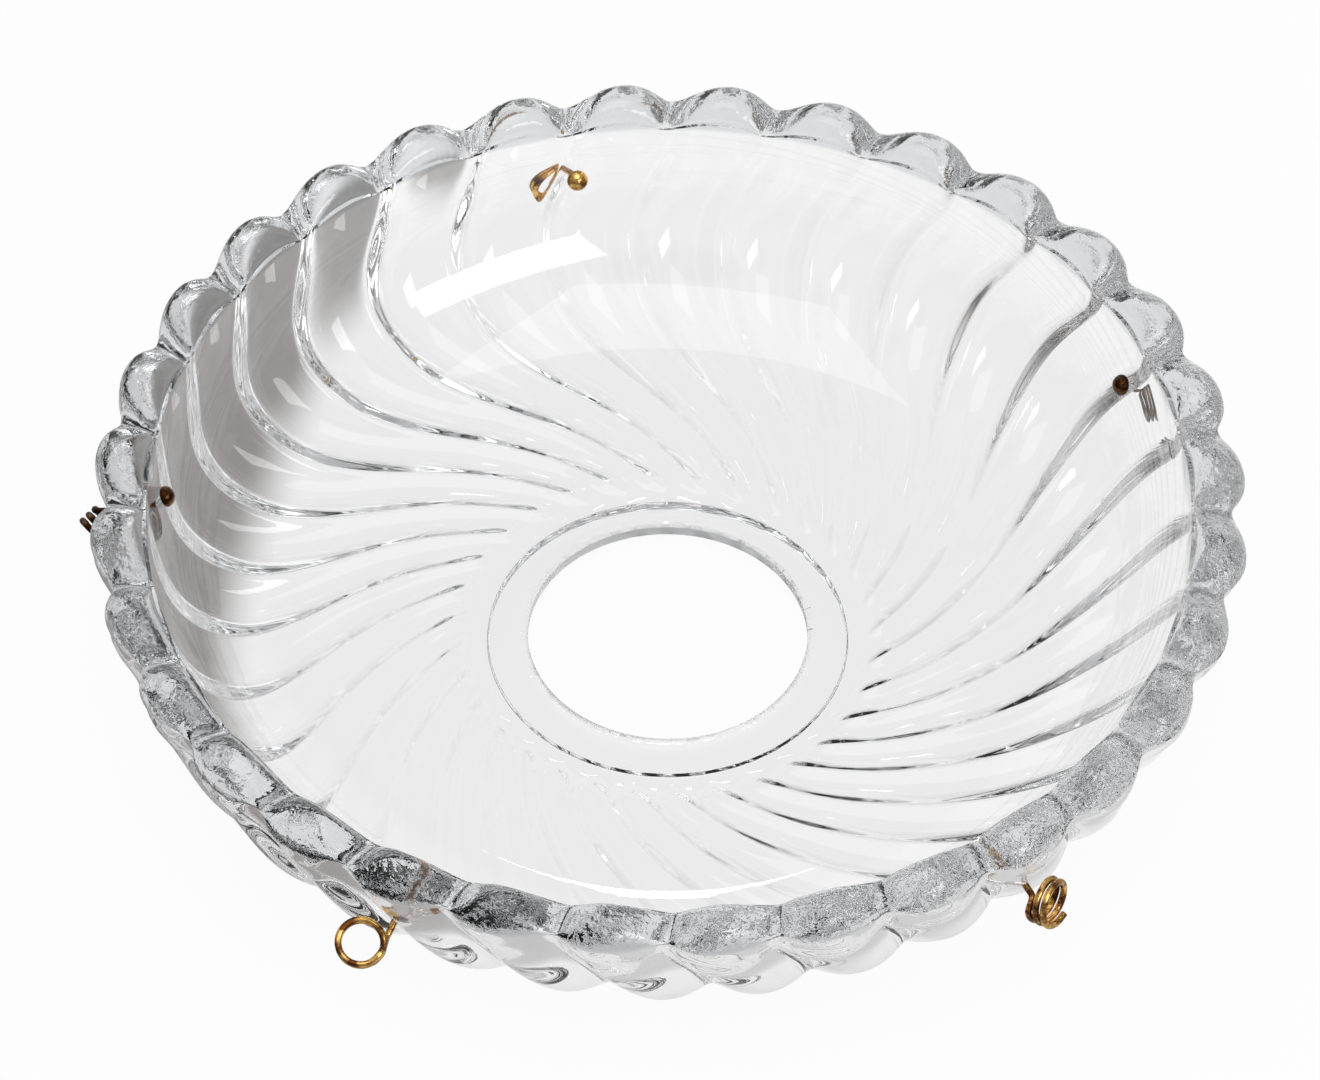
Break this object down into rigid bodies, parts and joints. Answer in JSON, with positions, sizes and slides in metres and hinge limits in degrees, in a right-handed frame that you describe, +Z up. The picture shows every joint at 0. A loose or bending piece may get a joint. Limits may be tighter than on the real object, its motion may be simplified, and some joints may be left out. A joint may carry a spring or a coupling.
{
  "type": "chandelier drip pan",
  "caption": "Shallow clear pressed-glass drip pan with swirled lobes, beaded rim and a middle hole; swivelling brass pins through the wall end in wire eyes for hanging prisms",
  "frame": {"origin": "on the axis of the middle hole, halfway through the glass plate round it", "axes": "+Z up along the axis of the middle hole, out of the bowl; the pan is round about Z, and the pictured side faces -Y"},
  "size_m": [0.153, 0.1506, 0.0312],
  "materials": {
    "clear_glass": "clear pressed glass, fire-polished inside, slightly pitted on the rim beads",
    "brass_wire": "old brass wire, golden with brown tarnish"
  },
  "bodies": {
    "dish": {"glass_dish": "clear_glass"},
    "pin_1": {"prism_pin_1": "brass_wire"},
    "pin_2": {"prism_pin_2": "brass_wire"},
    "pin_3": {"prism_pin_3": "brass_wire"},
    "pin_4": {"prism_pin_4": "brass_wire"},
    "pin_5": {"prism_pin_5": "brass_wire"}
  },
  "joints": [
    {"name": "pin_1_swivel", "type": "hinge", "parent": "dish", "child": "pin_1", "pos_m": [-0.01289, 0.06572, 0.0179], "axis": [-0.17, 0.8664, -0.4695], "continuous": true},
    {"name": "pin_2_swivel", "type": "hinge", "parent": "dish", "child": "pin_2", "pos_m": [0.06019, 0.02936, 0.0179], "axis": [0.7936, 0.3871, -0.4695], "continuous": true},
    {"name": "pin_3_swivel", "type": "hinge", "parent": "dish", "child": "pin_3", "pos_m": [-0.06654, 0.00758, 0.0179], "axis": [-0.8773, 0.1, -0.4695], "continuous": true},
    {"name": "pin_4_swivel", "type": "hinge", "parent": "dish", "child": "pin_4", "pos_m": [-0.03237, -0.05863, 0.0179], "axis": [-0.4267, -0.773, -0.4695], "continuous": true},
    {"name": "pin_5_swivel", "type": "hinge", "parent": "dish", "child": "pin_5", "pos_m": [0.04305, -0.0513, 0.0179], "axis": [0.5675, -0.6764, -0.4695], "continuous": true}
  ]
}
